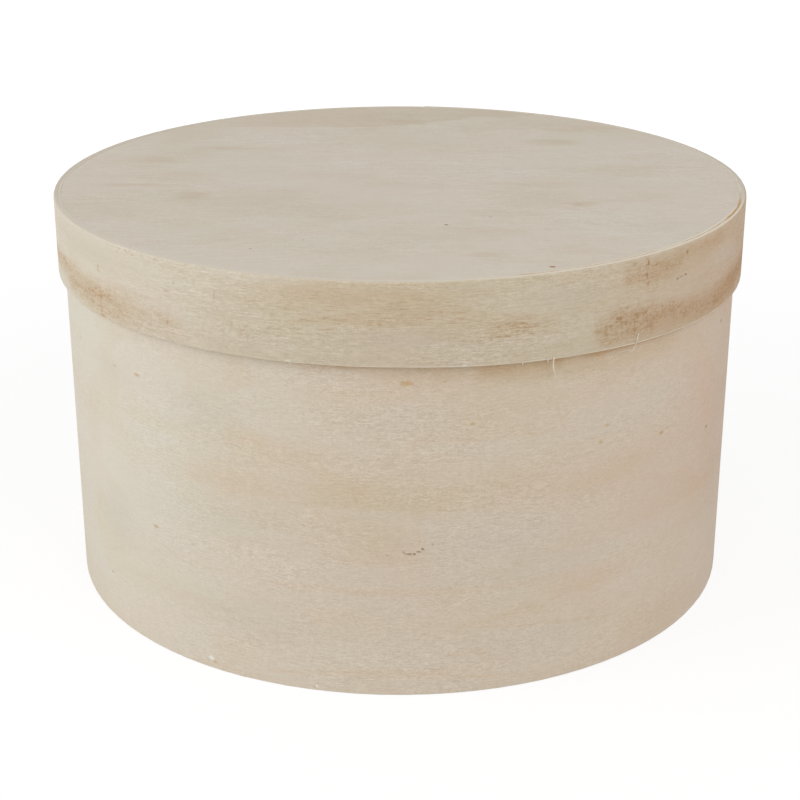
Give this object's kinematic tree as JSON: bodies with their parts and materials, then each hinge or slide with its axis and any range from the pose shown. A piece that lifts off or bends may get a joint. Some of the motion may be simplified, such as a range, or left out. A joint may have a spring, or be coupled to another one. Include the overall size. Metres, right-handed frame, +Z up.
{
  "type": "round box",
  "caption": "Round lidded keepsake box of bent veneer: a tall hoop wall with an inset base, closed by a shallow lift-off lid whose skirt slips over the wall.",
  "frame": {"origin": "middle of the underside, on the surface the box stands on", "axes": "+Z up along the box's own axis; -Y towards the pictured front, so both glued seams are at the back"},
  "size_m": [0.3, 0.3, 0.1732],
  "materials": {
    "wall_veneer": "raw pale veneer, fine sanded, matt",
    "lid_veneer": "raw pale veneer with light brown flecks, fine sanded, matt",
    "panel_ply": "raw pale plywood with faint brown streaks, matt",
    "cured_glue": "dry amber wood glue"
  },
  "bodies": {
    "box": {"wall_strip": "wall_veneer", "wall_seam_glue": "cured_glue", "base_panel": "panel_ply", "base_glue_line": "cured_glue"},
    "lid": {"lid_band": "lid_veneer", "lid_seam_glue": "cured_glue", "lid_panel": "panel_ply", "lid_glue_line": "cured_glue"}
  },
  "joints": [
    {"name": "lid_lift", "type": "slide", "parent": "box", "child": "lid", "axis": [0, 0, 1], "range_m": [0, 0.15]}
  ]
}
